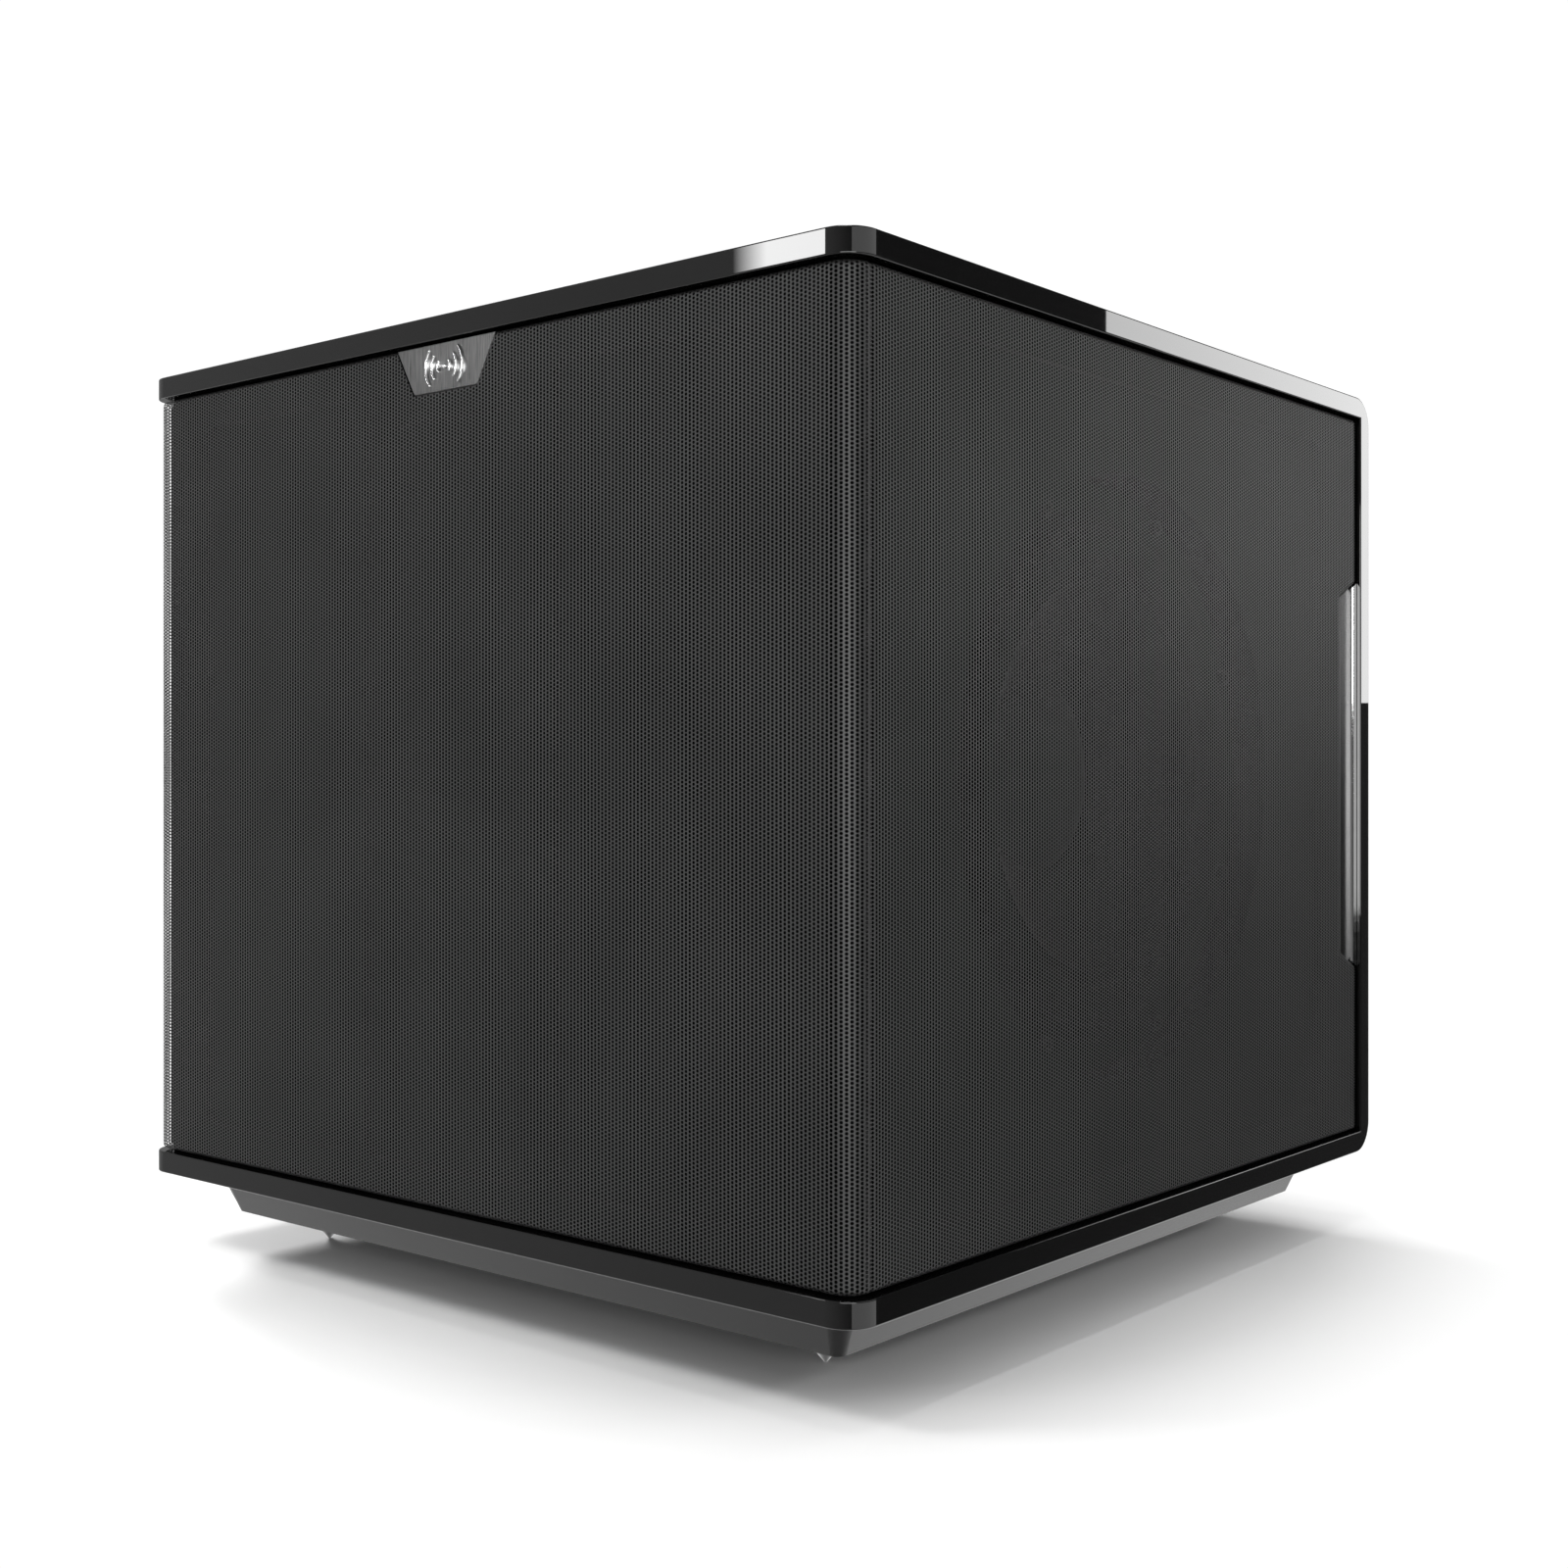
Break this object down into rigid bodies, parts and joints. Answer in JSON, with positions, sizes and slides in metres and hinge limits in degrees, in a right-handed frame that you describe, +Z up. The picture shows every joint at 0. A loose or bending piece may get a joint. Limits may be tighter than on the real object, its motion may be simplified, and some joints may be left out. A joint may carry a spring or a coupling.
{
  "type": "subwoofer",
  "caption": "Near-cubic powered bass speaker with opposed side woofers, a glossy wrap, perforated grilles and pointed feet.",
  "frame": {"origin": "on the floor under the middle of the cabinet", "axes": "+X to the right seen from the front, +Y to the rear, +Z up"},
  "size_m": [0.541, 0.538, 0.522],
  "materials": {
    "lacquer": "high-gloss black lacquer on fibreboard",
    "satin_black_board": "satin black painted fibreboard",
    "bare_board": "bare fibreboard",
    "plinth_paint": "fine-textured dark grey paint on fibreboard",
    "grille_metal": "perforated steel, dark grey powder coat",
    "grille_frame_plastic": "moulded black",
    "grommet_rubber": "soft black",
    "badge_steel": "brushed upright",
    "polished_metal": "polished",
    "trim_plate_black": "smooth dark",
    "spike_chrome": "polished",
    "insert_brass": "turned",
    "black_screw": "black oxide",
    "cast_aluminium": "black powder coat on a casting",
    "surround_rubber": "moulded butyl",
    "cone_black": "fibre-loaded black",
    "dust_cap_black": "smooth black",
    "coil_copper": "copper wire on a thin former",
    "spider_cloth": "impregnated cloth",
    "motor_steel": "turned, black zinc",
    "ferrite": "ground ferrite",
    "amp_panel_paint": "black anodised",
    "heat_sink_anodised": "black anodised extrusion",
    "knob_plastic": "moulded black",
    "board_green": "solder-masked circuit board with parts",
    "transformer_wrap": "varnished winding",
    "inlet_plastic": "moulded black",
    "jack_gold": "gold plated",
    "jack_nickel": "nickel plated"
  },
  "bodies": {
    "cabinet": {"amp_board": "board_green", "amp_chamber_wall": "bare_board", "amp_plate": "amp_panel_paint", "amp_screws": "black_screw", "amp_transformer": "transformer_wrap", "centre_brace": "bare_board", "front_panel": "satin_black_board", "grille_grommets": "grommet_rubber", "heat_sink": "heat_sink_anodised", "left_basket": "cast_aluminium", "left_magnet": "ferrite", "left_pole_yoke": "motor_steel", "left_side_panel": "satin_black_board", "left_top_plate": "motor_steel", "left_trim_plate": "trim_plate_black", "left_trim_strip": "polished_metal", "left_woofer_screws": "black_screw", "mains_inlet": "inlet_plastic", "outer_shell": "lacquer", "plinth": "plinth_paint", "plinth_screws": "black_screw", "rca_jacks": "jack_gold", "right_basket": "cast_aluminium", "right_magnet": "ferrite", "right_pole_yoke": "motor_steel", "right_side_panel": "satin_black_board", "right_top_plate": "motor_steel", "right_trim_plate": "trim_plate_black", "right_trim_strip": "polished_metal", "right_woofer_screws": "black_screw", "spike_inserts": "insert_brass", "trigger_jack": "jack_nickel"},
    "front_grille": {"front_grille": "grille_metal", "front_grille_frame": "grille_frame_plastic", "front_badge": "badge_steel", "badge_emblem": "polished_metal"},
    "left_grille": {"left_grille": "grille_metal", "left_grille_frame": "grille_frame_plastic"},
    "right_grille": {"right_grille": "grille_metal", "right_grille_frame": "grille_frame_plastic"},
    "level_knob": {"level_knob": "knob_plastic"},
    "lowpass_knob": {"lowpass_knob": "knob_plastic"},
    "phase_switch": {"phase_switch": "knob_plastic"},
    "power_mode_switch": {"power_mode_switch": "knob_plastic"},
    "power_switch": {"power_switch": "inlet_plastic"},
    "left_cone": {"left_cone": "cone_black", "left_dust_cap": "dust_cap_black", "left_voice_coil": "coil_copper", "left_surround": "surround_rubber", "left_spider": "spider_cloth"},
    "right_cone": {"right_cone": "cone_black", "right_dust_cap": "dust_cap_black", "right_voice_coil": "coil_copper", "right_surround": "surround_rubber", "right_spider": "spider_cloth"},
    "spike_front_left": {"spike_front_left": "spike_chrome"},
    "spike_front_right": {"spike_front_right": "spike_chrome"},
    "spike_rear_left": {"spike_rear_left": "spike_chrome"},
    "spike_rear_right": {"spike_rear_right": "spike_chrome"}
  },
  "joints": [
    {"name": "front_grille_pull", "type": "slide", "parent": "cabinet", "child": "front_grille", "axis": [0, -1, 0], "range_m": [0, 0.06]},
    {"name": "left_grille_pull", "type": "slide", "parent": "cabinet", "child": "left_grille", "axis": [-1, 0, 0], "range_m": [0, 0.06]},
    {"name": "right_grille_pull", "type": "slide", "parent": "cabinet", "child": "right_grille", "axis": [1, 0, 0], "range_m": [0, 0.06]},
    {"name": "right_cone_stroke", "type": "slide", "parent": "cabinet", "child": "right_cone", "axis": [1, 0, 0], "range_m": [-0.012, 0.012], "stiffness_N_per_m": 2500, "deforming": ["right_surround", "right_spider"]},
    {"name": "left_cone_stroke", "type": "slide", "parent": "cabinet", "child": "left_cone", "axis": [-1, 0, 0], "range_m": [-0.012, 0.012], "stiffness_N_per_m": 2500, "deforming": ["left_surround", "left_spider"]},
    {"name": "level_knob_turn", "type": "hinge", "parent": "cabinet", "child": "level_knob", "pos_m": [0.076, 0.2507, 0.296], "axis": [0, 1, 0], "range_deg": [-150, 150]},
    {"name": "lowpass_knob_turn", "type": "hinge", "parent": "cabinet", "child": "lowpass_knob", "pos_m": [0.014, 0.2507, 0.296], "axis": [0, 1, 0], "range_deg": [-150, 150]},
    {"name": "phase_switch_slide", "type": "slide", "parent": "cabinet", "child": "phase_switch", "axis": [1, 0, 0], "range_m": [0, 0.004]},
    {"name": "power_mode_switch_slide", "type": "slide", "parent": "cabinet", "child": "power_mode_switch", "axis": [1, 0, 0], "range_m": [0, 0.004]},
    {"name": "power_switch_rock", "type": "hinge", "parent": "cabinet", "child": "power_switch", "pos_m": [-0.084, 0.2452, 0.186], "axis": [1, 0, 0], "range_deg": [0, 20]},
    {"name": "spike_front_left_height", "type": "slide", "parent": "cabinet", "child": "spike_front_left", "axis": [0, 0, 1], "range_m": [-0.008, 0]},
    {"name": "spike_front_right_height", "type": "slide", "parent": "cabinet", "child": "spike_front_right", "axis": [0, 0, 1], "range_m": [-0.008, 0]},
    {"name": "spike_rear_left_height", "type": "slide", "parent": "cabinet", "child": "spike_rear_left", "axis": [0, 0, 1], "range_m": [-0.008, 0]},
    {"name": "spike_rear_right_height", "type": "slide", "parent": "cabinet", "child": "spike_rear_right", "axis": [0, 0, 1], "range_m": [-0.008, 0]}
  ],
  "couplings": [
    {"joint": "left_cone_stroke", "follows": "right_cone_stroke", "ratio": 1}
  ]
}
